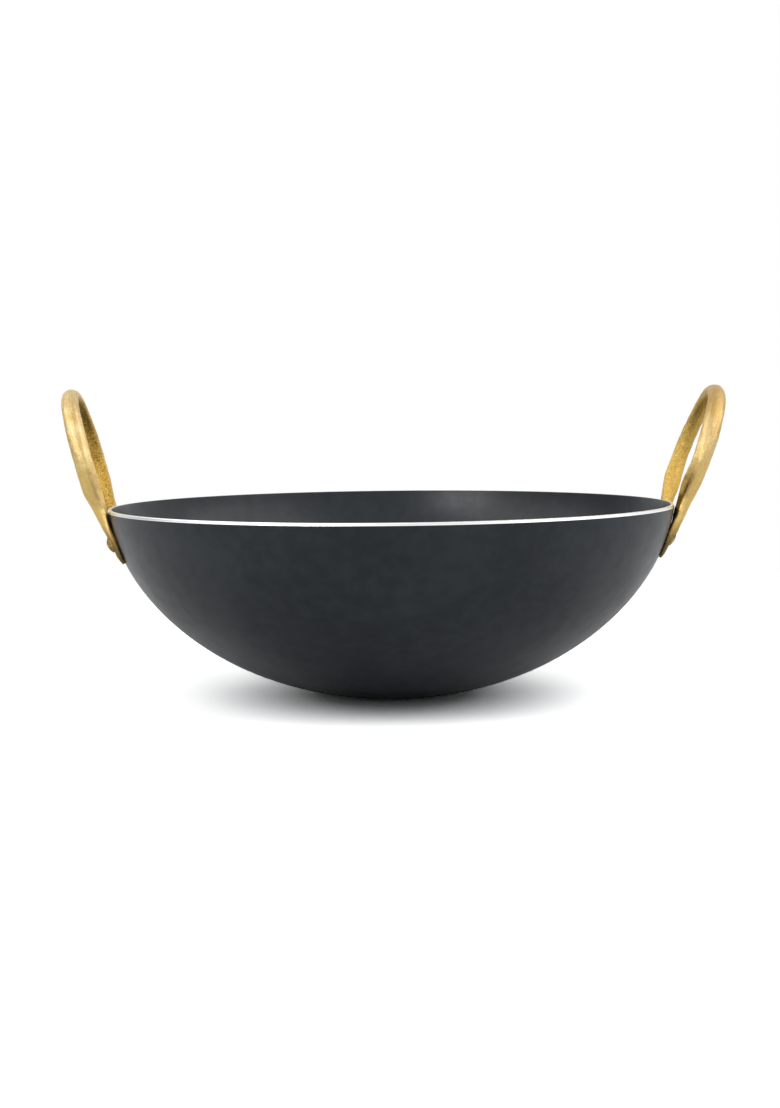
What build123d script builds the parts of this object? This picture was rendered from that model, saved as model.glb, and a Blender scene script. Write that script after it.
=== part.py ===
"""A kadai: a deep round-bottomed pan with two standing brass ring handles.

X runs from handle to handle, Y across them and Z up. The origin is the middle of the flat foot.
"""

from build123d import *
import math
import os

# Bowl: one spun shell, the lower part of an ellipsoid, flattened to a foot. Millimetres.
rim_diameter = 280.0
bowl_depth = 94.7
flare_rise = 11.3
foot_diameter = 40.0
foot_edge_radius = 40.0
wall = 2.0

# Rim: turned bright, with a bevel outside and its two corners broken.
rim_bevel_height = 1.9
rim_bevel_width = 0.5
rim_corner_radius = 0.4

# Handle ring: a cast rod bent round an open loop. Each one leans out at its own angle, as it was
# set by hand, from a line that stands off the rim.
ring_diameter = 62.6
ring_rise = 24.7
ring_end_angle = 125.0
ring_sections = 11
rod_diameter = 8.3
parting_angle = 12.0
left_lean_angle = 15.2
left_standoff = 2.4
right_lean_angle = 20.6
right_standoff = 1.3

# Handle feet: the rod's two ends, drawn down thin and bedded on the bowl's wall.
feet_spacing = 45.0
pad_width = 18.0
pad_thickness = 2.5
pad_tip_drop = 25.7
rim_gap = 0.3
seat_clearance = 0.05
bedding_depth = 1.0

# Rivets: one through each foot, with a peened head outside and a factory head inside.
rivet_drop = 15.2
shank_diameter = 5.0
shank_clearance = 0.1
peened_diameter = 8.4
peened_height = 2.0
spot_face_depth = 0.2
spot_face_clearance = 0.3
inner_diameter = 9.6
inner_height = 1.5
inner_seat_clearance = 0.15
head_edge_share = 0.3

# Each row of a foot, from the rim to the tip: the share of the way down to the tip, of the rod's
# extra thickness still left, of the bedding into the wall and of the pad's extra width, and the
# squareness of the section, where 1 is an ellipse.
foot_row_shares = (
    (0.00, 0.72, 0.0, 0.12, 1.0),
    (0.20, 0.45, 0.6, 0.28, 1.1),
    (0.38, 0.24, 1.0, 0.54, 1.4),
    (0.54, 0.07, 1.0, 0.83, 1.8),
    (0.70, 0.00, 1.0, 1.00, 2.0),
    (0.84, 0.00, 1.0, 0.90, 2.0),
    (0.95, 0.00, 1.0, 0.50, 2.0),
    (1.00, 0.00, 1.0, 0.00, 2.0),
)
section_point_shares = (0.0, 0.1, 0.3, 0.5, 0.7, 0.9, 1.0)

# The ellipse that passes through the rim and through the edge of the foot, from the sizes above.
rim_radius = rim_diameter / 2
foot_radius = foot_diameter / 2
flattening = (rim_radius**2 - foot_radius**2) / ((bowl_depth + flare_rise) ** 2 - flare_rise**2)
belly_radius = math.sqrt(rim_radius**2 + flattening * flare_rise**2)
belly_height = belly_radius / math.sqrt(flattening)
feet_azimuth = math.degrees(math.asin(feet_spacing / 2 / rim_radius))
foot_azimuths = (feet_azimuth, -feet_azimuth)
hole_diameter = shank_diameter + shank_clearance
rivet_seat = pad_thickness - spot_face_depth
inner_seat = -wall - inner_seat_clearance


def half_outline(inset):
    """Returns half of the bowl's outline, inset from its outer face all round but not at its rim."""
    with BuildSketch(Plane.XZ) as half:
        with Locations((0, bowl_depth + flare_rise)):
            Ellipse(belly_radius - inset, belly_height - inset)
        with Locations((0, inset)):
            Rectangle(belly_radius, bowl_depth, align=Align.MIN, mode=Mode.INTERSECT)
        foot_corners = half.vertices().group_by(Axis.Y)[0]
        fillet(foot_corners.sort_by(Axis.X)[-1], foot_edge_radius - inset)
    return half.sketch


def wall_place(drop, height, azimuth):
    """Returns a plane at a height off the bowl's outer face, a drop below the rim.

    Its x runs round the bowl, its y up the wall and its z out of it.
    """
    reach = math.sqrt(belly_radius**2 - flattening * (flare_rise + drop) ** 2)
    out = Vector(reach, 0, -flattening * (flare_rise + drop)).normalized()
    origin = Vector(reach, 0, bowl_depth - drop) + out * height
    place = Plane(origin=origin, x_dir=(0, 1, 0), z_dir=out)
    return Plane(Location((0, 0, 0), (0, 0, azimuth)) * place.location)


def foot_place(drop, height):
    """Returns the plane that cuts across the +Y foot, with its y out of the bowl's wall."""
    place = wall_place(drop, height, feet_azimuth)
    return Plane(origin=place.origin, x_dir=place.x_dir, z_dir=place.y_dir * -1)


def ring_place(turn, lean, standoff):
    """Returns the plane across the ring's rod, a turn from its top towards +Y.

    Its x points away from the ring's middle, its y out of the pan and its z along the rod.
    """
    tilt = math.radians(lean)
    up = Vector(math.sin(tilt), 0, math.cos(tilt))
    out = Vector(math.cos(tilt), 0, -math.sin(tilt))
    reach = rim_radius + standoff + ring_rise * math.tan(tilt)
    radial = up.rotate(Axis((0, 0, 0), out), -turn)
    origin = Vector(reach, 0, bowl_depth + ring_rise) + radial * ring_diameter / 2
    return Plane(origin=origin, x_dir=radial, z_dir=radial.cross(out))


def mirrored_place(place):
    """Returns the same plane on the -Y side, for a rod that is followed the other way."""
    flipped = [Vector(v.X, -v.Y, v.Z) for v in (place.origin, place.x_dir, place.z_dir)]
    return Plane(origin=flipped[0], x_dir=flipped[1], z_dir=flipped[2] * -1)


def half_section(width, thickness, squareness):
    """Returns the points of a section's outer half, from one parting line to the other."""
    points = []
    lowest = math.sin(math.radians(parting_angle))
    widest = math.cos(math.radians(parting_angle))
    for share in section_point_shares:
        angle = math.radians(parting_angle + (180 - 2 * parting_angle) * share)
        across = math.cos(angle) / widest
        up = max(math.sin(angle) - lowest, 0) / (1 - lowest)
        across = math.copysign(abs(across) ** (1 / squareness), across)
        points.append((across * width / 2, up ** (1 / squareness) * thickness / 2))
    return points


def casting_rows(lean, standoff):
    """Returns a handle's sections from foot to foot: place, width, thickness, squareness."""
    turns = [ring_end_angle * (2 * i / (ring_sections - 1) - 1) for i in range(ring_sections)]
    ring_rows = [
        (ring_place(turn, lean, standoff), rod_diameter, rod_diameter, 1) for turn in turns
    ]
    foot_rows = []
    for drop_share, rod_share, bedding_share, pad_share, squareness in foot_row_shares:
        top = pad_thickness + (rod_diameter - pad_thickness) * rod_share
        back = rim_gap - (rim_gap + bedding_depth) * bedding_share
        place = foot_place(pad_tip_drop * drop_share, (top + back) / 2)
        width = rod_diameter + (pad_width - rod_diameter) * pad_share
        foot_rows.append((place, width, top - back, squareness))
    far_rows = [(mirrored_place(place), *sizes) for place, *sizes in reversed(foot_rows)]
    return far_rows + ring_rows + foot_rows


def handle_casting(lean, standoff):
    """Returns one handle on the +X side, lofted from foot to foot and bedded on the wall."""
    with BuildPart() as casting:
        for place, width, thickness, squareness in casting_rows(lean, standoff):
            outer_half = half_section(width, thickness, squareness)
            with BuildSketch(place):
                with BuildLine():
                    Spline(*outer_half)
                    Spline(*[(x, -y) for x, y in reversed(outer_half)])
                make_face()
        loft()
        revolve(half_outline(-seat_clearance), axis=Axis.Z, mode=Mode.SUBTRACT)
        with Locations(*[wall_place(rivet_drop, rod_diameter, a) for a in foot_azimuths]):
            CounterBoreHole(
                hole_diameter / 2,
                (peened_diameter + spot_face_clearance) / 2,
                rod_diameter - rivet_seat,
                depth=2 * rod_diameter,
            )
    return casting.part


def dome_radius(diameter, height):
    """Returns the radius of the dome that tops a rivet's head, over its straight edge."""
    rise = height * (1 - head_edge_share)
    return ((diameter / 2) ** 2 + rise**2) / (2 * rise)


# Bowl: the outer shape less an inner one that is a wall smaller all round.
with BuildPart() as bowl:
    revolve(half_outline(0), axis=Axis.Z)
    revolve(half_outline(wall), axis=Axis.Z, mode=Mode.SUBTRACT)
    with BuildSketch(Plane.XZ):
        with BuildLine():
            Polyline(
                (rim_radius - rim_bevel_width, bowl_depth),
                (rim_radius, bowl_depth),
                (rim_radius, bowl_depth - rim_bevel_height),
                close=True,
            )
        make_face()
    revolve(axis=Axis.Z, mode=Mode.SUBTRACT)
    fillet(bowl.faces().sort_by(Axis.Z)[-1].edges(), rim_corner_radius)
    for azimuth in foot_azimuths:
        for side in (0, 180):
            with Locations(wall_place(rivet_drop, wall, azimuth + side)):
                Hole(hole_diameter / 2, depth=3 * wall)

# Handles: the same casting on each side, each leaning as it was set.
with BuildPart() as right_handle:
    add(handle_casting(right_lean_angle, right_standoff))

with BuildPart() as left_handle:
    mirror(handle_casting(left_lean_angle, left_standoff), about=Plane.YZ)

# Rivet: turned about its own axis, with the outer face of the bowl's wall at height zero. Each
# head is a low dome on a short straight edge.
with BuildPart() as rivet:
    with BuildSketch(Plane.XZ):
        with BuildLine():
            Polyline(
                (0, inner_seat - inner_height),
                (0, rivet_seat + peened_height),
            )
            RadiusArc(
                (0, rivet_seat + peened_height),
                (peened_diameter / 2, rivet_seat + head_edge_share * peened_height),
                dome_radius(peened_diameter, peened_height),
            )
            Polyline(
                (peened_diameter / 2, rivet_seat + head_edge_share * peened_height),
                (peened_diameter / 2, rivet_seat),
                (shank_diameter / 2, rivet_seat),
                (shank_diameter / 2, inner_seat),
                (inner_diameter / 2, inner_seat),
                (inner_diameter / 2, inner_seat - head_edge_share * inner_height),
            )
            RadiusArc(
                (inner_diameter / 2, inner_seat - head_edge_share * inner_height),
                (0, inner_seat - inner_height),
                dome_radius(inner_diameter, inner_height),
            )
        make_face()
    revolve(axis=Axis.Z)

with BuildPart() as right_rivets:
    with Locations(*[wall_place(rivet_drop, 0, azimuth) for azimuth in foot_azimuths]):
        add(rivet.part)

with BuildPart() as left_rivets:
    mirror(right_rivets.part, about=Plane.YZ)

pieces = {
    "bowl": bowl,
    "left_handle": left_handle,
    "right_handle": right_handle,
    "left_rivets": left_rivets,
    "right_rivets": right_rivets,
}
os.makedirs("parts", exist_ok=True)
for name, piece in pieces.items():
    piece.part.label = name
    export_step(piece.part, f"parts/{name}.step")
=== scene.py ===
"""Dresses a kadai, a deep round-bottomed pan with two standing brass ring handles.

X runs from handle to handle, Y away from the viewer and Z up. Sizes are in metres, except where
a comment says otherwise.
"""

import math

import bmesh
import bpy
import numpy as np
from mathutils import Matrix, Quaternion, Vector


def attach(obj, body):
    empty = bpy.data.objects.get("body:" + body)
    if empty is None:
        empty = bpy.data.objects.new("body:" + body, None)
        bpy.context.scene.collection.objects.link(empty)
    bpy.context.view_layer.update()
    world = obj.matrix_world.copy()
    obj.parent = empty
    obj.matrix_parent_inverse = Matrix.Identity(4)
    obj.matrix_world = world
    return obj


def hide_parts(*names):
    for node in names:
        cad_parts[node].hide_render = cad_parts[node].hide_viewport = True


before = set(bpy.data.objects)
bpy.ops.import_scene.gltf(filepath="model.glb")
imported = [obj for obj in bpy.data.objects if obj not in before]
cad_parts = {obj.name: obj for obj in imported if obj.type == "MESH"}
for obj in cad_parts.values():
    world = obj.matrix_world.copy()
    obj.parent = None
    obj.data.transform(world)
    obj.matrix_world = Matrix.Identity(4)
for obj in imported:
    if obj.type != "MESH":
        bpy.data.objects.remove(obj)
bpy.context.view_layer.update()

scene = bpy.context.scene
scene.view_settings.view_transform = "Standard"

# Camera: about a metre off with a long lens, a little above the rim and barely round to the left.
# It leans by just over half a degree, so that the pan's right side stands higher in the picture.
camera_target = Vector((-0.00077, 0, 0.07007))
camera_distance = 1.08
camera_azimuth = math.radians(-1.56)
camera_elevation = math.radians(4.57)
camera_roll = math.radians(-0.60)
picture_height = 1108
focal_length_in_pixels = 2167.5

camera_data = bpy.data.cameras.new("camera")
camera_data.sensor_width = 36
camera_data.lens = camera_data.sensor_width * focal_length_in_pixels / picture_height
camera_back = Vector((
    math.sin(camera_azimuth) * math.cos(camera_elevation),
    -math.cos(camera_azimuth) * math.cos(camera_elevation),
    math.sin(camera_elevation),
))
camera = bpy.data.objects.new("camera", camera_data)
camera.location = camera_target + camera_back * camera_distance
camera.rotation_mode = "QUATERNION"
camera.rotation_quaternion = (
    (-camera_back).to_track_quat("-Z", "Y") @ Quaternion((0, 0, 1), camera_roll)
)
scene.collection.objects.link(camera)
scene.camera = camera

# Studio: a white room at a fifth of full strength, a large soft panel half-way up at the left and
# at the right, and a small one in front at the left that only shows in reflections. The room
# itself looks plain white, but what is mirrored of it low at the left is dimmer.
room_light = 0.2
dimmed_light = 0.45
dimmed_across = (-0.5, -0.9)  # where the dimming starts and is full, in the direction's X
dimmed_below = (0.5, 0.25)  # and in its Z
panels = {
    # name: place, size, radiance
    "left_panel": ((-1.0, -0.2, 0.9), (1.4, 1.0), 1.4),
    "right_panel": ((1.0, -0.2, 0.9), (1.4, 1.0), 1.55),
    "front_panel": ((-0.81, -1.11, 0.6), (0.6, 0.4), 5.5),
}
panels_face = Vector((0, 0, 0.06))


def add_node(tree, kind, inputs=None, **settings):
    """Adds a node, sets it up, and fills or links its inputs, each by its name or number."""
    node = tree.nodes.new(kind)
    for name, value in settings.items():
        setattr(node, name, value)
    for name, value in (inputs or {}).items():
        sockets = value if isinstance(value, list) else [value]
        if isinstance(sockets[0], bpy.types.NodeSocket):
            for socket in sockets:
                tree.links.new(socket, node.inputs[name])
        else:
            node.inputs[name].default_value = value
    return node


def linear(hex_colour):
    """Turns an sRGB hex colour into the linear values that a colour socket takes."""
    shares = [int(hex_colour[i:i + 2], 16) / 255 for i in (1, 3, 5)]
    return [s / 12.92 if s <= 0.04045 else ((s + 0.055) / 1.055) ** 2.4 for s in shares] + [1]


def seen_directly(tree):
    """Returns a socket that is 1 where the camera sees a backdrop, itself or in a reflection."""
    rays = add_node(tree, "ShaderNodeLightPath").outputs
    seen = add_node(tree, "ShaderNodeMath",
                    {0: rays["Is Camera Ray"], 1: rays["Is Glossy Ray"]}, operation="MAXIMUM")
    return add_node(tree, "ShaderNodeMath",
                    {0: seen.outputs[0], 1: rays["Is Transmission Ray"]},
                    operation="MAXIMUM").outputs[0]


room = bpy.data.worlds.new("white_room")
room.use_nodes = True
scene.world = room
tree = room.node_tree
direction = add_node(tree, "ShaderNodeSeparateXYZ",
                     {0: add_node(tree, "ShaderNodeTexCoord").outputs["Generated"]}).outputs
dimmed = add_node(tree, "ShaderNodeLightPath").outputs["Is Glossy Ray"]
for value, (start, full) in ((direction["X"], dimmed_across), (direction["Z"], dimmed_below)):
    share = add_node(tree, "ShaderNodeMapRange",
                     {"Value": value, "From Min": start, "From Max": full}).outputs[0]
    dimmed = add_node(tree, "ShaderNodeMath", {0: dimmed, 1: share},
                      operation="MULTIPLY").outputs[0]
room_strength = add_node(tree, "ShaderNodeMath",
                         {0: seen_directly(tree), 1: 1 - room_light, 2: room_light},
                         operation="MULTIPLY_ADD").outputs[0]
room_strength = add_node(tree, "ShaderNodeMix",
                         {0: dimmed, 2: room_strength, 3: dimmed_light}).outputs[0]
room_background = tree.nodes["Background"]
room_background.inputs["Color"].default_value = linear("#ffffff")
tree.links.new(room_strength, room_background.inputs["Strength"])

for panel_name, (place, size, radiance) in panels.items():
    panel_data = bpy.data.lights.new(panel_name, "AREA")
    panel_data.shape = "RECTANGLE"
    panel_data.size, panel_data.size_y = size
    panel_data.energy = radiance * math.pi * size[0] * size[1]
    panel = bpy.data.objects.new(panel_name, panel_data)
    panel.location = place
    panel.rotation_mode = "QUATERNION"
    panel.rotation_quaternion = (panels_face - Vector(place)).to_track_quat("-Z", "Y")
    panel.visible_camera = False
    panel.visible_diffuse = panel_name != "front_panel"
    scene.collection.objects.link(panel)

# Floor: a white paper sweep. Near the pan it is lit and takes the pan's shadow, and further off
# it turns into the room's white, so that the picture has no horizon. The gains set how bright it
# is to the camera and in the pan's reflections, where it also turns white nearer by.
floor_half_width = 4
fade_start, fade_end = 0.3, 0.7
camera_gain = 3.7
mirrored_gains = {"in front": 1.35, "beside": 1.65}
beside_start, beside_end = 0.04, 0.2
mirrored_nearness = 1.4
mirrored_beyond = 0.75  # the white's brightness in the pan


def factor_for(tree, ray, factor):
    """Returns a socket that is the factor for rays of one kind and 1 for all others."""
    return add_node(tree, "ShaderNodeMath", {0: ray, 1: factor - 1, 2: 1},
                    operation="MULTIPLY_ADD").outputs[0]


floor_material = bpy.data.materials.new("white_paper")
floor_material.use_nodes = True
tree = floor_material.node_tree
tree.nodes.clear()
rays = add_node(tree, "ShaderNodeLightPath").outputs
place = add_node(tree, "ShaderNodeTexCoord").outputs["Object"]
distance_off = add_node(tree, "ShaderNodeVectorMath", {0: place}, operation="LENGTH")
distance_off = add_node(tree, "ShaderNodeMath",
                        {0: distance_off.outputs["Value"],
                         1: factor_for(tree, rays["Is Glossy Ray"], mirrored_nearness)},
                        operation="MULTIPLY").outputs[0]
fade = add_node(tree, "ShaderNodeMapRange",
                {"Value": distance_off, "From Min": fade_start, "From Max": fade_end},
                interpolation_type="SMOOTHSTEP").outputs[0]
shown_fade = add_node(tree, "ShaderNodeMath", {0: fade, 1: seen_directly(tree)},
                      operation="MULTIPLY").outputs[0]
sideways = add_node(tree, "ShaderNodeSeparateXYZ", {0: place}).outputs["X"]
sideways = add_node(tree, "ShaderNodeMath", {0: sideways}, operation="ABSOLUTE").outputs[0]
mirrored_gain = add_node(tree, "ShaderNodeMapRange",
                         {"Value": sideways, "From Min": beside_start, "From Max": beside_end,
                          "To Min": mirrored_gains["in front"] - 1,
                          "To Max": mirrored_gains["beside"] - 1},
                         interpolation_type="SMOOTHSTEP").outputs[0]
gain = add_node(tree, "ShaderNodeMath",
                {0: rays["Is Glossy Ray"], 1: mirrored_gain,
                 2: factor_for(tree, rays["Is Camera Ray"], camera_gain)},
                operation="MULTIPLY_ADD").outputs[0]
paper_colour = add_node(tree, "ShaderNodeVectorMath",
                        {0: linear("#f2f2f2")[:3], "Scale": gain}, operation="SCALE").outputs[0]
paper = add_node(tree, "ShaderNodeBsdfDiffuse", {"Color": paper_colour}).outputs[0]
beyond = add_node(tree, "ShaderNodeEmission",
                  {"Color": linear("#ffffff"),
                   "Strength": factor_for(tree, rays["Is Glossy Ray"], mirrored_beyond)}).outputs[0]
sweep = add_node(tree, "ShaderNodeMixShader", {0: shown_fade, 1: paper, 2: beyond})
add_node(tree, "ShaderNodeOutputMaterial", {"Surface": sweep.outputs[0]})

floor_mesh = bpy.data.meshes.new("studio_floor")
floor_mesh.from_pydata(
    [(x * floor_half_width, y * floor_half_width, 0)
     for x, y in ((-1, -1), (1, -1), (1, 1), (-1, 1))], [], [(0, 1, 2, 3)]
)
floor_mesh.materials.append(floor_material)
floor = bpy.data.objects.new("studio_floor", floor_mesh)
scene.collection.objects.link(floor)

# Bowl: one aluminium disc, spun to shape over a former and hard-anodised charcoal inside and out.
# Its rim was turned afterwards, so it is bare and bright, with a fine groove round its middle.
bowl_depth = 0.0947
rim_radius = 0.140
bare_height = 0.0014
bare_from_radius = 0.1381
bare_edge = 0.0001
groove_height = 0.0940
groove_width = 0.0002
cloud_size, mottle_size = 0.055, 0.007
mottle_share = 0.42
spin_spacing, turning_spacing = 0.0016, 0.0003
grain_size = 0.0006
bowl_relief_depth = 0.00001

# Hard-anodised aluminium: a ceramic oxide, so a dark satin with little metal left in it. Its
# colour is cloudy where the dye took unevenly, and spinning left faint rings under it. Its grain
# is far finer than here, and is drawn this coarse so that it shows.
bowl_material = bpy.data.materials.new("dark_anodised_aluminium")
bowl_material.use_nodes = True
tree = bowl_material.node_tree
tree.nodes.clear()
place = add_node(tree, "ShaderNodeTexCoord").outputs["Object"]
axes = add_node(tree, "ShaderNodeSeparateXYZ", {0: place}).outputs
flat_place = add_node(tree, "ShaderNodeCombineXYZ", {"X": axes["X"], "Y": axes["Y"]}).outputs[0]
radius = add_node(tree, "ShaderNodeVectorMath", {0: flat_place},
                  operation="LENGTH").outputs["Value"]
up_the_wall = add_node(tree, "ShaderNodeMath", {0: radius, 1: axes["Z"]},
                       operation="ADD").outputs[0]
cloud = add_node(tree, "ShaderNodeTexNoise",
                 {"Vector": place, "Scale": 1 / cloud_size, "Detail": 2,
                  "Distortion": 0.6}).outputs[0]
mottle, grain = (
    add_node(tree, "ShaderNodeTexNoise",
             {"Vector": place, "Scale": 1 / size, "Detail": 2}).outputs[0]
    for size in (mottle_size, grain_size)
)
spin_rings, turning = (
    add_node(tree, "ShaderNodeTexNoise", {"W": up_the_wall, "Scale": 1 / spacing, "Detail": 2},
             noise_dimensions="1D").outputs[0]
    for spacing in (spin_spacing, turning_spacing)
)

above_edge, outside = (
    add_node(tree, "ShaderNodeMapRange",
             {"Value": value, "From Min": edge, "From Max": edge + bare_edge}).outputs[0]
    for value, edge in ((axes["Z"], bowl_depth - bare_height), (radius, bare_from_radius))
)
bare = add_node(tree, "ShaderNodeMath", {0: above_edge, 1: outside},
                operation="MULTIPLY").outputs[0]
in_groove = add_node(tree, "ShaderNodeMath",
                     {0: axes["Z"], 1: groove_height, 2: groove_width},
                     operation="COMPARE").outputs[0]
groove = add_node(tree, "ShaderNodeMath", {0: in_groove, 1: bare}, operation="MULTIPLY").outputs[0]

# A Mix node has its two numbers at inputs 2 and 3, and its two colours at 6 and 7.
unevenness = add_node(tree, "ShaderNodeMix", {0: mottle_share, 2: cloud, 3: mottle}).outputs[0]
unevenness = add_node(tree, "ShaderNodeMapRange",
                      {"Value": unevenness, "From Min": 0.33, "From Max": 0.67},
                      interpolation_type="SMOOTHSTEP").outputs[0]
oxide_colour = add_node(tree, "ShaderNodeMix",
                        {0: unevenness, 6: linear("#111c26"), 7: linear("#2a3238")},
                        data_type="RGBA").outputs[2]
bare_colour = add_node(tree, "ShaderNodeMix",
                       {0: groove, 6: linear("#fbfbfb"), 7: linear("#e4e6e8")},
                       data_type="RGBA").outputs[2]
colour = add_node(tree, "ShaderNodeMix", {0: bare, 6: oxide_colour, 7: bare_colour},
                  data_type="RGBA").outputs[2]
oxide_roughness = add_node(tree, "ShaderNodeMapRange",
                           {"Value": unevenness, "To Min": 0.34, "To Max": 0.29}).outputs[0]
bare_roughness = add_node(tree, "ShaderNodeMapRange",
                          {"Value": turning, "To Min": 0.29, "To Max": 0.34}).outputs[0]
roughness = add_node(tree, "ShaderNodeMix",
                     {0: bare, 2: oxide_roughness, 3: bare_roughness}).outputs[0]
oxide_height = add_node(tree, "ShaderNodeMix", {0: 0.5, 2: grain, 3: spin_rings}).outputs[0]
height = add_node(tree, "ShaderNodeMix", {0: bare, 2: oxide_height, 3: turning}).outputs[0]
relief = add_node(tree, "ShaderNodeBump",
                  {"Height": height, "Strength": 0.5, "Distance": bowl_relief_depth})
surface = add_node(tree, "ShaderNodeBsdfPrincipled",
                   {"Base Color": colour, "Metallic": bare, "Roughness": roughness,
                    "Specular IOR Level": 0.38, "Normal": relief.outputs[0]})
add_node(tree, "ShaderNodeOutputMaterial", {"Surface": surface.outputs[0]})

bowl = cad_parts["bowl"]
bowl.data.materials.clear()
bowl.data.materials.append(bowl_material)

# Ring handles: each is one brass casting, a rod bent round an open loop with its ends drawn down
# into tongues that hug the bowl's wall. It was cast in two halves, hence the ridge down each leg
# with a hollow beside it, and filed by hand, so no two places on it are quite as thick.
sides = {"left": -1, "right": 1}
ring_radius = 0.0313
ring_rise = 0.0247
ring_end_turn = 125  # degrees off the ring's top
ring_sections = 11
rod_diameter = 0.0083
feet_spacing = 0.045
pad_width = 0.018
pad_thickness = 0.0025
pad_tip_drop = 0.0257
rim_gap = 0.0003
bedding_depth = 0.001
seat_clearance = 0.00005
feet_azimuth = math.asin(feet_spacing / 2 / rim_radius)

# The ellipse of the bowl's outer face, through its rim and the edge of its foot: half its width,
# half its height, and how far its middle is above the rim.
belly_radius = 0.14079
belly_height = 0.10709
flare_rise = 0.0113
flattening = (belly_radius / belly_height) ** 2

# The parting ridge and the hollow beside it grow down the ring's two sides. Their angles and turns
# are in degrees, and the hollow's full depth is a share of the section's half.
faint_ridge_angle, ridge_angle = 2, 12
ridge_from_turn, hollow_from_turn, growing_turn = 50, 75, 50
ring_hollow_share = 0.45
# How each casting came out: its lean in degrees, how far it stands off the rim, how deep its
# hollows are against the deepest, and how far its parting line lies towards the bowl.
castings = {
    "left": {"lean": 15.2, "standoff": 0.0024, "hollow_share": 0.3, "parting_shift": 0.0016},
    "right": {"lean": 20.6, "standoff": 0.0013, "hollow_share": 1.0, "parting_shift": 0.0},
}
# Each row of a foot, from the rim to its tip: the shares of the drop, of the rod's extra
# thickness, of the bedding in the wall and of the pad's extra width, the squareness of the
# section, where 1 is an ellipse, and how deep the hollow is against the section's half.
foot_rows = (
    (0.00, 0.72, 0.0, 0.12, 1.0, 0.30), (0.20, 0.45, 0.6, 0.28, 1.1, 0.15),
    (0.38, 0.24, 1.0, 0.54, 1.4, 0.00), (0.54, 0.07, 1.0, 0.83, 1.8, 0.00),
    (0.70, 0.00, 1.0, 1.00, 2.0, 0.00), (0.84, 0.00, 1.0, 0.90, 2.0, 0.00),
    (0.95, 0.00, 1.0, 0.50, 2.0, 0.00), (1.00, 0.00, 1.0, 0.00, 2.0, 0.00),
)
# The metal that the file left beyond the drawn rod, in millimetres: row from the near foot's tip
# to the far one's, on the face away from the pan, on the face towards it
extra_metal = {
    "left": ((0, -1.0, 0), (1, -0.5, 0), (2, 0, 0), (5, 0.2, 0), (8, 0.1, 0.4), (9, 0.1, 0.9),
             (10, 0.1, 0.9), (11, 0.2, 0.8), (12, 0.1, 0.3), (13, 0, 0.1), (14, 0, 0.1),
             (26, 0.1, 0.1)),
    "right": ((0, -1.1, 0), (2, -0.3, 0), (3, 0.2, 0), (4, 1.0, 0), (6, 0.8, 0), (8, 0.8, 0),
              (9, 0.6, 0.2), (10, 0.5, 0.8), (11, 0.3, 1.2), (12, 0, 0.5), (13, -0.05, 0.1),
              (14, -0.05, 0), (15, 0, -0.5), (16, 0, -0.2), (17, 0, 0.1), (18, 0, 0.5),
              (19, 0, 0.5), (21, 0, 0), (26, 0, 0)),
}
millimetre = 0.001
row_step = 0.0004
half_around = 36


def wall_point(drop):
    """Returns a point of the bowl's outer face between the +X feet, and the way out of it."""
    reach = math.sqrt(belly_radius**2 - flattening * (flare_rise + drop) ** 2)
    out = np.array([reach, 0, -flattening * (flare_rise + drop)])
    return np.array([reach, 0, bowl_depth - drop]), out / np.linalg.norm(out)


def at_foot(points, end):
    """Turns points from between the feet to one of them: the near one, -1, or the far one, 1."""
    turned = np.array([[math.cos(feet_azimuth), -math.sin(feet_azimuth), 0],
                       [math.sin(feet_azimuth), math.cos(feet_azimuth), 0], [0, 0, 1]])
    return points @ turned.T * (1, end, 1)


def section(width, outer_half, inner_half, squareness, ridge, hollow, shift):
    """Returns a closed section, from its outer parting line round by the outer face."""
    start = math.radians(ridge)
    share = np.linspace(0, 1, half_around + 1)
    angle = start + (math.pi - 2 * start) * share
    across = np.cos(angle) / math.cos(start)
    across = np.sign(across) * np.abs(across) ** (1 / squareness)
    up = np.clip((np.sin(angle) - math.sin(start)) / (1 - math.sin(start)), 0, 1)
    up = up ** (1 / squareness)
    down = up * (1 - hollow * np.sin(2 * np.pi * np.minimum(share, 0.5)) ** 2)
    outer = np.stack([across * width / 2, up * (outer_half + shift) - shift], -1)
    inner = np.stack([across * width / 2, -down * (inner_half - shift) - shift], -1)
    return np.concatenate([outer[:-1], inner[:0:-1]])


def ring_loops(extra, lean, standoff, hollow_share, parting_shift):
    """Returns the ring's sections as loops of points, from its near end to its far one."""
    tilt = math.radians(lean)
    up = np.array([math.sin(tilt), 0, math.cos(tilt)])
    out = np.array([math.cos(tilt), 0, -math.sin(tilt)])
    middle = np.array([rim_radius + standoff + ring_rise * math.tan(tilt), 0,
                       bowl_depth + ring_rise])
    half = rod_diameter / 2
    loops = []
    turns = np.linspace(-ring_end_turn, ring_end_turn, ring_sections)
    for turn, (more_out, more_in) in zip(turns, extra):
        radial = up * math.cos(math.radians(turn)) + np.array([0, math.sin(math.radians(turn)), 0])
        ridged, hollowed = (np.clip((abs(turn) - start) / growing_turn, 0, 1)
                            for start in (ridge_from_turn, hollow_from_turn))
        loop = section(rod_diameter, half + more_out, half + more_in, 1,
                       faint_ridge_angle + (ridge_angle - faint_ridge_angle) * ridged,
                       ring_hollow_share * hollowed * hollow_share, parting_shift * hollowed)
        loops.append(middle + radial * ring_radius + loop[:, :1] * radial + loop[:, 1:] * out)
    return loops


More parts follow.
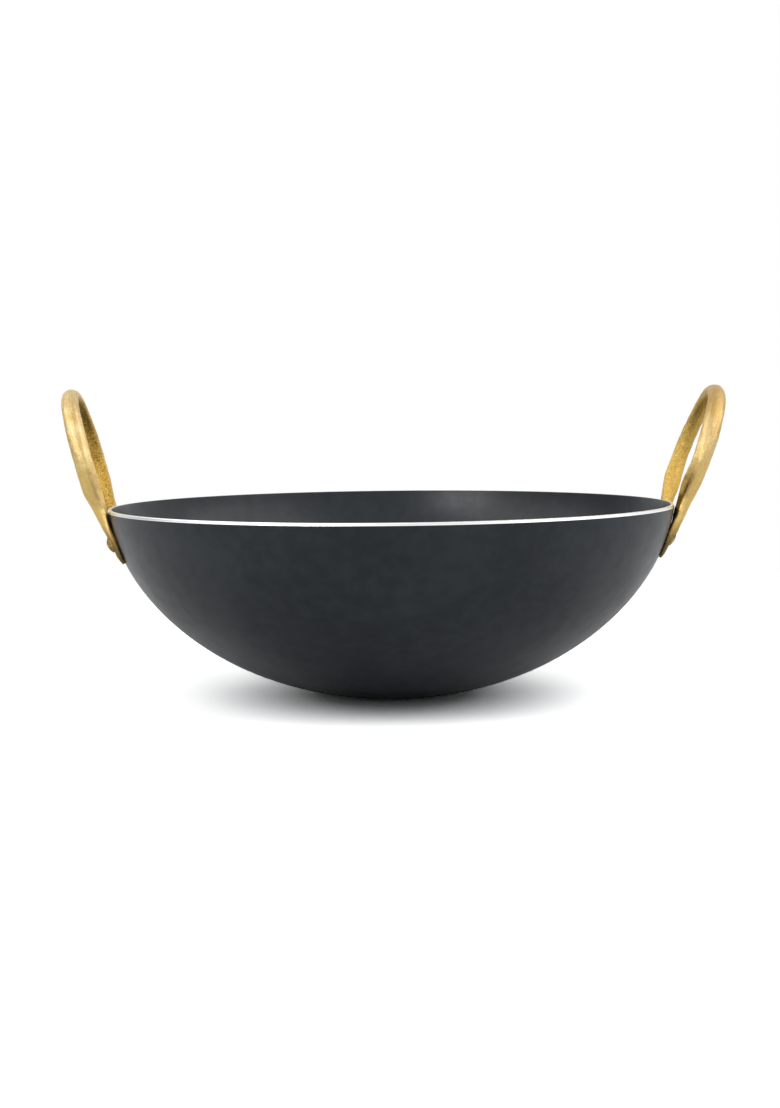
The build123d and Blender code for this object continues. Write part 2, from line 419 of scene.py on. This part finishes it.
def foot_loops(extra, hollow_share, parting_shift):
    """Returns a foot's sections from the rim to its tip, drawn between the two feet."""
    loops = []
    deepest = foot_rows[0][-1]
    for row, (more_out, more_in) in zip(foot_rows, extra):
        drop_share, rod_share, bedding_share, pad_share, squareness, hollow = row
        place, out = wall_point(pad_tip_drop * drop_share)
        top = pad_thickness + (rod_diameter - pad_thickness) * rod_share
        back = rim_gap - (rim_gap + bedding_depth) * bedding_share
        half = (top - back) / 2
        width = rod_diameter + (pad_width - rod_diameter) * pad_share
        loop = section(width, half + more_out, half + more_in, squareness, ridge_angle,
                       hollow * hollow_share, parting_shift * hollow / deepest)
        loops.append(place + out * (top + back) / 2 + loop[:, :1] * (0, 1, 0) + loop[:, 1:] * out)
    return loops


def handle_rows(metal, lean, standoff, hollow_share, parting_shift):
    """Returns the handle's sections from the near foot's tip to the far one's, on the +X side."""
    ring_from, ring_to = len(foot_rows), len(foot_rows) + ring_sections
    rows = np.arange(ring_to + len(foot_rows))
    row, *faces = np.array(metal).T
    extra = np.stack([np.interp(rows, row, face) for face in faces], -1) * millimetre
    near_extra, ring_extra, far_extra = np.split(extra, [ring_from, ring_to])
    near_foot, far_foot = (
        [at_foot(loop, end) for loop in foot_loops(foot_extra, hollow_share, parting_shift)]
        for end, foot_extra in ((-1, near_extra[::-1]), (1, far_extra))
    )
    ring = ring_loops(ring_extra, lean, standoff, hollow_share, parting_shift)
    return np.array(near_foot[::-1] + ring + far_foot)


def smooth_between(rows, step):
    """Returns rows a step apart on the natural cubic splines through the given ones."""
    gaps = np.linalg.norm(np.diff(rows.mean(1), axis=0), axis=1)
    knots = np.concatenate([[0], np.cumsum(gaps)])
    count = len(knots)
    system = np.zeros((count, count))
    system[0, 0] = system[-1, -1] = 1
    flat = rows.reshape(count, -1)
    target = np.zeros_like(flat)
    for i in range(1, count - 1):
        system[i, i - 1:i + 2] = gaps[i - 1], 2 * (gaps[i - 1] + gaps[i]), gaps[i]
        target[i] = 6 * ((flat[i + 1] - flat[i]) / gaps[i] - (flat[i] - flat[i - 1]) / gaps[i - 1])
    bends = np.linalg.solve(system, target)
    along = np.linspace(0, knots[-1], round(knots[-1] / step) + 1)
    i = np.clip(np.searchsorted(knots, along, side="right") - 1, 0, count - 2)
    gap = gaps[i][:, None]
    before = (knots[i + 1] - along)[:, None] / gap
    after = 1 - before
    smooth = (before * flat[i] + after * flat[i + 1]
              + ((before**3 - before) * bends[i] + (after**3 - after) * bends[i + 1]) * gap**2 / 6)
    return along, smooth.reshape(len(along), *rows.shape[1:])


def handle_mesh(name, side, metal, casting):
    """Builds a handle's mesh. Its attribute is each point's place on the rod as if straightened."""
    along, rows = smooth_between(handle_rows(metal, **casting), row_step)
    count, around = rows.shape[:2]
    points = rows.reshape(-1, 3)

    # What lies inside the bowl is pushed out to its wall, so that the foot beds on it.
    centre = np.array([0, 0, bowl_depth + flare_rise])
    radii = np.array([belly_radius, belly_radius, belly_height]) + seat_clearance
    depth = np.linalg.norm((points - centre) / radii, axis=1)
    inside = (depth < 1) & (points[:, 2] < bowl_depth)
    points[inside] = centre + (points[inside] - centre) / depth[inside, None]

    angle = np.tile(2 * np.pi * np.arange(around) / around, count)
    straight = np.stack([np.repeat(along, around), rod_diameter / 2 * np.cos(angle),
                         rod_diameter / 2 * np.sin(angle)], -1)
    faces = [(i * around + j, i * around + (j + 1) % around, (i + 1) * around + (j + 1) % around,
              (i + 1) * around + j) for i in range(count - 1) for j in range(around)]
    for row in (0, count - 1):
        tip = len(points)
        loop = slice(row * around, (row + 1) * around)
        points = np.vstack([points, points[loop].mean(0)])
        straight = np.vstack([straight, straight[loop].mean(0)])
        faces += [(row * around + j, row * around + (j + 1) % around, tip) for j in range(around)]

    mesh = bpy.data.meshes.new(name)
    mesh.from_pydata((points * (side, 1, 1)).tolist(), [], faces)
    attribute = mesh.attributes.new("straightened_rod", "FLOAT_VECTOR", "POINT")
    attribute.data.foreach_set("vector", straight.astype(np.float32).ravel())
    working = bmesh.new()
    working.from_mesh(mesh)
    bmesh.ops.recalc_face_normals(working, faces=working.faces)
    working.to_mesh(mesh)
    working.free()
    return mesh


def node_tree(name, inputs):
    """Starts a Geometry Nodes tree: its inputs are a geometry and named sizes or materials."""
    tree = bpy.data.node_groups.new(name, "GeometryNodeTree")
    tree.interface.new_socket("Geometry", in_out="OUTPUT", socket_type="NodeSocketGeometry")
    tree.interface.new_socket("Geometry", in_out="INPUT", socket_type="NodeSocketGeometry")
    for label, kind in inputs.items():
        tree.interface.new_socket(label, in_out="INPUT", socket_type=f"NodeSocket{kind}")
    return tree, tree.nodes.new("NodeGroupInput").outputs


def made_by(tree, mesh, values):
    """Runs a tree on a mesh with the given inputs, and returns an object with the plain result."""
    piece = bpy.data.objects.new(mesh.name, mesh)
    scene.collection.objects.link(piece)
    modifier = piece.modifiers.new(tree.name, "NODES")
    modifier.node_group = tree
    for socket in tree.interface.items_tree:
        if socket.in_out == "INPUT" and socket.name in values:
            modifier[socket.identifier] = values[socket.name]
    made = bpy.data.meshes.new_from_object(
        piece.evaluated_get(bpy.context.evaluated_depsgraph_get()))
    piece.modifiers.remove(modifier)
    made.name = f"{mesh.name}_made"
    piece.data = made
    return piece


# The file's marks: it only takes metal off, in long shallow flats down the rod, and the casting
# skin beneath has shallow lumps.
filing, given = node_tree("filing", {
    "Flat Depth": "Float", "Flat Length": "Float", "Flat Width": "Float", "Lump Depth": "Float",
    "Lump Size": "Float", "Seed": "Float", "Material": "Material",
})
rod_place = add_node(filing, "GeometryNodeInputNamedAttribute", {"Name": "straightened_rod"},
                     data_type="FLOAT_VECTOR").outputs["Attribute"]
flat_size = add_node(filing, "ShaderNodeCombineXYZ",
                     {"X": given["Flat Length"], "Y": given["Flat Width"],
                      "Z": given["Flat Width"]}).outputs[0]
taken = 0
for size, detail, starts, depth in (
    (flat_size, 2, 0.4, given["Flat Depth"]),
    (given["Lump Size"], 3, 0.35, given["Lump Depth"]),
):
    mark_place = add_node(filing, "ShaderNodeVectorMath", {0: rod_place, 1: size},
                          operation="DIVIDE").outputs[0]
    marks = add_node(filing, "ShaderNodeTexNoise",
                     {"Vector": mark_place, "W": given["Seed"], "Scale": 1, "Detail": detail},
                     noise_dimensions="4D").outputs[0]
    marks = add_node(filing, "ShaderNodeMapRange",
                     {"Value": marks, "From Min": starts, "From Max": 0.7}).outputs[0]
    taken = add_node(filing, "ShaderNodeMath", {0: marks, 1: depth, 2: taken},
                     operation="MULTIPLY_ADD").outputs[0]
inwards = add_node(filing, "ShaderNodeMath", {0: taken, 1: -1}, operation="MULTIPLY").outputs[0]
off_surface = add_node(filing, "ShaderNodeVectorMath",
                       {0: add_node(filing, "GeometryNodeInputNormal").outputs[0],
                        "Scale": inwards}, operation="SCALE").outputs[0]
filed = add_node(filing, "GeometryNodeSetPosition",
                 {"Geometry": given["Geometry"], "Offset": off_surface}).outputs[0]
real = add_node(filing, "GeometryNodeRealizeInstances", {0: filed}).outputs[0]
dressed = add_node(filing, "GeometryNodeSetMaterial",
                   {"Geometry": real, "Material": given["Material"]}).outputs[0]
add_node(filing, "NodeGroupOutput", {0: dressed})

# Cast and filed brass: bright and streaked along the rod where the file went, browner and
# speckled where it stayed as cast, on the loop's inner face and on the tongues. Low on the side
# towards the pan it is dark brown, partly patina in the hollow and partly painted shade where the
# leg meets the wall. Its tones also change with height as painted light, and the left handle has a
# painted highlight on its side towards the pan.
# The streaks are as wide as a coarse file's teeth. The sand's grain was about 0.3 mm, and its
# speckle is drawn three times as coarse so that it shows.
streak_length, streak_width = 0.012, 0.0007
speckle_size, blotch_size = 0.0009, 0.006
brass_relief_depth = 0.00025
patina_and_shade_fade = 0.010
handles_from = 0.1  # no part of a handle is nearer the pan's middle than this

brass_material = bpy.data.materials.new("cast_brass")
brass_material.use_nodes = True
tree = brass_material.node_tree
tree.nodes.clear()
place = add_node(tree, "ShaderNodeTexCoord").outputs["Object"]
axes = add_node(tree, "ShaderNodeSeparateXYZ", {0: place}).outputs
height = axes["Z"]
# The straightened rod's Y points out of the loop, and its Z away from the pan.
rod = add_node(tree, "ShaderNodeAttribute", attribute_name="straightened_rod").outputs["Vector"]
rod_axes = add_node(tree, "ShaderNodeSeparateXYZ", {0: rod}).outputs
streak_place = add_node(tree, "ShaderNodeMapping", {
    "Vector": rod, "Scale": (1 / streak_length, 1 / streak_width, 1 / streak_width),
}).outputs[0]
streaks = add_node(tree, "ShaderNodeTexNoise",
                   {"Vector": streak_place, "Scale": 1, "Detail": 3, "Roughness": 0.6}).outputs[0]
speckle = add_node(tree, "ShaderNodeTexNoise",
                   {"Vector": place, "Scale": 1 / speckle_size, "Detail": 3,
                    "Roughness": 0.7}).outputs[0]
blotch = add_node(tree, "ShaderNodeTexNoise",
                  {"Vector": place, "Scale": 1 / blotch_size, "Detail": 4,
                   "Roughness": 0.6}).outputs[0]

# What is not alike on the two handles: its value on the left one and on the right one.
by_side = {
    name: add_node(tree, "ShaderNodeMapRange",
                   {"Value": axes["X"], "From Min": -handles_from, "From Max": handles_from,
                    "To Min": left, "To Max": right}).outputs[0]
    for name, (left, right) in {
        "top of patina and shade": (0.101, 0.113), "browner": (0.1, 0.6), "brighter": (0, 0.3),
        "left only": (1, 0),
    }.items()
}
patina_and_shade_full = add_node(tree, "ShaderNodeMath", {0: by_side["top of patina and shade"], 1: patina_and_shade_fade},
                       operation="SUBTRACT").outputs[0]

# Where each finish or painted light is: what tells it, where it starts and where it is full.
finishes_and_painted_light = {
    "in loop": (rod_axes["Y"], 0, -0.003),
    "off loop": (rod_axes["Y"], -0.001, 0.001),
    "to bowl": (rod_axes["Z"], -0.0004, -0.0018),
    "back edge": (rod_axes["Z"], -0.0031, -0.0039),
    "on tongue": (height, 0.088, 0.078),
    "above rim": (height, 0.098, 0.102),
    "beside bowl": (height, 0.120, 0.108),
    "painted light by height": (height, 0.110, 0.126),
    "near top": (height, 0.126, 0.141),
    "low down": (height, by_side["top of patina and shade"], patina_and_shade_full),
    "speckled": (speckle, 0.32, 0.68),
    "blotched": (blotch, 0.35, 0.65),
    "streaked": (streaks, 0.35, 0.65),
}
shares = by_side | {
    name: add_node(tree, "ShaderNodeMapRange",
                   {"Value": value, "From Min": start, "From Max": full}).outputs[0]
    for name, (value, start, full) in finishes_and_painted_light.items()
}
for name, first, operation, second in (
    ("as cast", "in loop", "MAXIMUM", "on tongue"),
    # Dark brown low on the side towards the pan, growing towards the wall: partly patina in the
    # hollow, partly painted shade where the leg meets the wall. The back edge above the rim is left
    # out of it.
    ("hollow", "to bowl", "MULTIPLY", "low down"),
    ("hollow", "hollow", "MULTIPLY", "off loop"),
    ("unshaded back edge", "back edge", "MULTIPLY", "above rim"),
    ("hollow", "hollow", "SUBTRACT", "unshaded back edge"),
    ("browner", "browner", "MULTIPLY", "near top"),
    ("beside bowl", "beside bowl", "MULTIPLY", "to bowl"),
    # A painted highlight on the left handle's side towards the pan, beside the bowl.
    ("painted highlight", "beside bowl", "MULTIPLY", "left only"),
    ("painted highlight", "painted highlight", "MULTIPLY", "off loop"),
    ("unfiled", "as cast", "MAXIMUM", "beside bowl"),
):
    shares[name] = add_node(tree, "ShaderNodeMath", {0: shares[first], 1: shares[second]},
                            operation=operation, use_clamp=True).outputs[0]
filed_tone = add_node(tree, "ShaderNodeMix",
                      {0: 0.6, 2: shares["blotched"], 3: shares["streaked"]}).outputs[0]
shares["filed tone"] = add_node(tree, "ShaderNodeMix",
                                {0: 0.35, 2: filed_tone, 3: shares["speckled"]}).outputs[0]

# The brass's colours, each mixed by one of the shares from two others.
tones = {}
for name, first, mixed_by, second in (
    # Painted light by height: low on the legs the worn tone is lighter, and higher up the bright
    # tone is paler and the worn one darker.
    ("bright", "#f3d993", "painted light by height", "#eedcae"),
    ("worn", "#d8b263", "painted light by height", "#bd9648"),
    ("filed", "worn", "filed tone", "bright"),
    ("filed", "filed", "browner", "#b08a42"),
    ("cast", "#84621a", "speckled", "#dcb862"),
    ("cast", "cast", "brighter", "#f6d680"),
    ("tongue", "#66532a", "speckled", "#a38a55"),
    # The dark brown low towards the pan: partly patina, partly painted shade.
    ("hollow", "#4a360a", "speckled", "#8a661c"),
    ("all", "filed", "as cast", "cast"),
    ("all", "all", "on tongue", "tongue"),
    # ffdf9b is the painted highlight's colour.
    ("all", "all", "painted highlight", "#ffdf9b"),
    ("all", "all", "hollow", "hollow"),
):
    colours = [tones[tone] if tone in tones else linear(tone) for tone in (first, second)]
    tones[name] = add_node(tree, "ShaderNodeMix",
                           {0: shares[mixed_by], 6: colours[0], 7: colours[1]},
                           data_type="RGBA").outputs[2]
roughness = add_node(tree, "ShaderNodeMapRange",
                     {"Value": shares["unfiled"], "To Min": 0.48, "To Max": 0.62}).outputs[0]
relief_height = add_node(tree, "ShaderNodeMix", {0: 0.6, 2: streaks, 3: speckle}).outputs[0]
relief = add_node(tree, "ShaderNodeBump",
                  {"Height": relief_height, "Strength": 1, "Distance": brass_relief_depth})
surface = add_node(tree, "ShaderNodeBsdfPrincipled",
                   {"Base Color": tones["all"], "Metallic": 1, "Roughness": roughness,
                    "Normal": relief.outputs[0]})
add_node(tree, "ShaderNodeOutputMaterial", {"Surface": surface.outputs[0]})

for side_name, side in sides.items():
    mesh = handle_mesh(f"{side_name}_ring_handle", side, extra_metal[side_name],
                       castings[side_name])
    handle = made_by(filing, mesh, {
        "Flat Depth": 0.0003, "Flat Length": 0.016, "Flat Width": 0.003, "Lump Depth": 0.0002,
        "Lump Size": 0.004, "Seed": side * 3.7, "Material": brass_material,
    })
    handle.data.shade_smooth()
    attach(handle, "root")
    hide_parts(f"{side_name}_handle")

# Rivets: one through each foot, its head inside the bowl as it came and its head outside peened
# over by hand, so that it is lumpy.
rivet_drop = 0.0152
shank_diameter = 0.005
peened_diameter, inner_diameter = 0.0084, 0.0096
inner_height = 0.0015
peened_heights = {"left": 0.0022, "right": 0.0018}
head_edge_share = 0.3
head_seat = 0.0023
inner_seat = -0.00215
shank_overrun = 0.0002  # into each head, so that the three join
head_corners, head_rings = 40, 9
sharp_angle = math.radians(50)

peening, given = node_tree("peening", {
    "Head Diameter": "Float", "Head Height": "Float", "Head Seat": "Float",
    "Inner Diameter": "Float", "Inner Height": "Float", "Inner Seat": "Float",
    "Shank Diameter": "Float", "Off Centre": "Float", "Hammer Depth": "Float",
    "Hammer Mark Size": "Float", "Seed": "Float", "Material": "Material",
})


def domed_head(diameter, height):
    """Adds a low dome on a short straight edge, which stands on the plane z = 0."""
    radius = add_node(peening, "ShaderNodeMath", {0: diameter, 1: 2}, operation="DIVIDE").outputs[0]
    edge = add_node(peening, "ShaderNodeMath", {0: height, 1: head_edge_share},
                    operation="MULTIPLY").outputs[0]
    disc = add_node(peening, "GeometryNodeMeshCylinder",
                    {"Vertices": head_corners, "Side Segments": 2, "Fill Segments": head_rings,
                     "Radius": radius, "Depth": edge}, fill_type="TRIANGLE_FAN")
    at = add_node(peening, "GeometryNodeInputPosition").outputs[0]
    from_axis = add_node(peening, "ShaderNodeVectorMath", {0: at, 1: (1, 1, 0)},
                         operation="MULTIPLY").outputs[0]
    from_axis = add_node(peening, "ShaderNodeVectorMath", {0: from_axis},
                         operation="LENGTH").outputs["Value"]
    outwards = add_node(peening, "ShaderNodeMath", {0: from_axis, 1: radius},
                        operation="DIVIDE").outputs[0]
    fall = add_node(peening, "ShaderNodeMath", {0: outwards, 1: 2}, operation="POWER").outputs[0]
    rise = add_node(peening, "ShaderNodeMath", {0: 1, 1: fall}, operation="SUBTRACT").outputs[0]
    for factor in (height, 1 - head_edge_share):
        rise = add_node(peening, "ShaderNodeMath", {0: rise, 1: factor},
                        operation="MULTIPLY").outputs[0]
    lift = add_node(peening, "ShaderNodeCombineXYZ", {"Z": rise}).outputs[0]
    domed = add_node(peening, "GeometryNodeSetPosition",
                     {"Geometry": disc.outputs["Mesh"], "Selection": disc.outputs["Top"],
                      "Offset": lift}).outputs[0]
    half_edge = add_node(peening, "ShaderNodeMath", {0: edge, 1: 2}, operation="DIVIDE").outputs[0]
    stood = add_node(peening, "ShaderNodeCombineXYZ", {"Z": half_edge}).outputs[0]
    return add_node(peening, "GeometryNodeTransform",
                    {"Geometry": domed, "Translation": stood}).outputs[0]


head_place = add_node(peening, "ShaderNodeCombineXYZ",
                      {"Y": given["Off Centre"], "Z": given["Head Seat"]}).outputs[0]
head = add_node(peening, "GeometryNodeTransform",
                {"Geometry": domed_head(given["Head Diameter"], given["Head Height"]),
                 "Translation": head_place}).outputs[0]
inner_place = add_node(peening, "ShaderNodeCombineXYZ", {"Z": given["Inner Seat"]}).outputs[0]
inner_head = add_node(peening, "GeometryNodeTransform",
                      {"Geometry": domed_head(given["Inner Diameter"], given["Inner Height"]),
                       "Rotation": (math.pi, 0, 0), "Translation": inner_place}).outputs[0]
shank_start = add_node(peening, "ShaderNodeMath", {0: given["Inner Seat"], 1: shank_overrun},
                       operation="SUBTRACT").outputs[0]
shank_end = add_node(peening, "ShaderNodeMath", {0: given["Head Seat"], 1: shank_overrun},
                     operation="ADD").outputs[0]
shank_length = add_node(peening, "ShaderNodeMath", {0: shank_end, 1: shank_start},
                        operation="SUBTRACT").outputs[0]
shank_radius = add_node(peening, "ShaderNodeMath", {0: given["Shank Diameter"], 1: 2},
                        operation="DIVIDE").outputs[0]
shank_middle = add_node(peening, "ShaderNodeMath", {0: shank_start, 1: shank_end},
                        operation="ADD").outputs[0]
shank_middle = add_node(peening, "ShaderNodeMath", {0: shank_middle, 1: 2},
                        operation="DIVIDE").outputs[0]
shank = add_node(peening, "GeometryNodeMeshCylinder",
                 {"Vertices": head_corners, "Radius": shank_radius,
                  "Depth": shank_length}).outputs["Mesh"]
shank_place = add_node(peening, "ShaderNodeCombineXYZ", {"Z": shank_middle}).outputs[0]
shank = add_node(peening, "GeometryNodeTransform",
                 {"Geometry": shank, "Translation": shank_place}).outputs[0]
rivet = add_node(peening, "GeometryNodeMeshBoolean", {"Mesh 2": [head, shank, inner_head]},
                 operation="UNION").outputs["Mesh"]

# Only what is outside the wall was struck, and more so towards the head.
at = add_node(peening, "GeometryNodeInputPosition").outputs[0]
rivet_height = add_node(peening, "ShaderNodeSeparateXYZ", {0: at}).outputs["Z"]
peened_share = add_node(peening, "ShaderNodeMapRange",
                        {"Value": rivet_height, "From Min": 0,
                         "From Max": given["Head Seat"]}).outputs[0]
rivet = add_node(peening, "GeometryNodeStoreNamedAttribute",
                 {"Geometry": rivet, "Name": "peened", "Value": peened_share},
                 data_type="FLOAT", domain="POINT").outputs[0]

# Each rivet stands on its point, square to the wall and upright.
out_of_wall = add_node(peening, "GeometryNodeInputNamedAttribute", {"Name": "out_of_wall"},
                       data_type="FLOAT_VECTOR").outputs["Attribute"]
stands = add_node(peening, "FunctionNodeAlignRotationToVector", {"Vector": out_of_wall},
                  axis="Z").outputs[0]
stands = add_node(peening, "FunctionNodeAlignRotationToVector",
                  {"Rotation": stands, "Vector": (0, 0, 1)}, axis="Y", pivot_axis="Z").outputs[0]
set_in = add_node(peening, "GeometryNodeInstanceOnPoints",
                  {"Points": given["Geometry"], "Instance": rivet, "Rotation": stands}).outputs[0]
real = add_node(peening, "GeometryNodeRealizeInstances", {0: set_in}).outputs[0]

mark_place = add_node(peening, "ShaderNodeVectorMath",
                      {0: add_node(peening, "GeometryNodeInputPosition").outputs[0],
                       1: given["Hammer Mark Size"]}, operation="DIVIDE").outputs[0]
struck = add_node(peening, "ShaderNodeTexNoise",
                  {"Vector": mark_place, "W": given["Seed"], "Scale": 1, "Detail": 1},
                  noise_dimensions="4D").outputs[0]
struck = add_node(peening, "ShaderNodeMath", {0: struck, 1: 2, 2: -1},
                  operation="MULTIPLY_ADD").outputs[0]
peened = add_node(peening, "GeometryNodeInputNamedAttribute", {"Name": "peened"},
                  data_type="FLOAT").outputs["Attribute"]
for factor in (peened, given["Hammer Depth"]):
    struck = add_node(peening, "ShaderNodeMath", {0: struck, 1: factor},
                      operation="MULTIPLY").outputs[0]
struck = add_node(peening, "ShaderNodeVectorMath",
                  {0: add_node(peening, "GeometryNodeInputNormal").outputs[0], "Scale": struck},
                  operation="SCALE").outputs[0]
hammered = add_node(peening, "GeometryNodeSetPosition",
                    {"Geometry": real, "Offset": struck}).outputs[0]
real = add_node(peening, "GeometryNodeRealizeInstances", {0: hammered}).outputs[0]
dressed = add_node(peening, "GeometryNodeSetMaterial",
                   {"Geometry": real, "Material": given["Material"]}).outputs[0]
add_node(peening, "NodeGroupOutput", {0: dressed})

# Peened brass: dull and brown in some patches and brighter in others. Its grit is finer than
# here, and is drawn this coarse so that it shows.
grit_size, patch_size = 0.0008, 0.0025
rivet_relief_depth = 0.0002

rivet_material = bpy.data.materials.new("peened_brass")
rivet_material.use_nodes = True
tree = rivet_material.node_tree
tree.nodes.clear()
place = add_node(tree, "ShaderNodeTexCoord").outputs["Object"]
grit = add_node(tree, "ShaderNodeTexNoise",
                {"Vector": place, "Scale": 1 / grit_size, "Detail": 3, "Roughness": 0.7}).outputs[0]
patch = add_node(tree, "ShaderNodeTexNoise",
                 {"Vector": place, "Scale": 1 / patch_size, "Detail": 2}).outputs[0]
tone = add_node(tree, "ShaderNodeMix", {0: 0.5, 2: grit, 3: patch}).outputs[0]
tone = add_node(tree, "ShaderNodeMapRange",
                {"Value": tone, "From Min": 0.4, "From Max": 0.6}).outputs[0]
colour = add_node(tree, "ShaderNodeMix", {0: tone, 6: linear("#6e5426"), 7: linear("#cdb073")},
                  data_type="RGBA").outputs[2]
relief = add_node(tree, "ShaderNodeBump",
                  {"Height": grit, "Strength": 1, "Distance": rivet_relief_depth})
surface = add_node(tree, "ShaderNodeBsdfPrincipled",
                   {"Base Color": colour, "Metallic": 1, "Roughness": 0.5,
                    "Normal": relief.outputs[0]})
add_node(tree, "ShaderNodeOutputMaterial", {"Surface": surface.outputs[0]})

for side_name, side in sides.items():
    places, ways_out = (
        np.array([at_foot(vector, end) * (side, 1, 1) for end in (-1, 1)])
        for vector in wall_point(rivet_drop)
    )
    mesh = bpy.data.meshes.new(f"{side_name}_peened_rivets")
    mesh.from_pydata(places.tolist(), [], [])
    attribute = mesh.attributes.new("out_of_wall", "FLOAT_VECTOR", "POINT")
    attribute.data.foreach_set("vector", ways_out.astype(np.float32).ravel())
    rivets = made_by(peening, mesh, {
        "Head Diameter": peened_diameter, "Head Height": peened_heights[side_name],
        "Head Seat": head_seat,
        "Inner Diameter": inner_diameter, "Inner Height": inner_height, "Inner Seat": inner_seat,
        "Shank Diameter": shank_diameter, "Off Centre": -0.0004, "Hammer Depth": 0.0004,
        "Hammer Mark Size": 0.0032, "Seed": side * 2.3, "Material": rivet_material,
    })
    rivets.data.shade_smooth()
    rivets.data.set_sharp_from_angle(angle=sharp_angle)
    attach(rivets, "root")
    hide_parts(f"{side_name}_rivets")
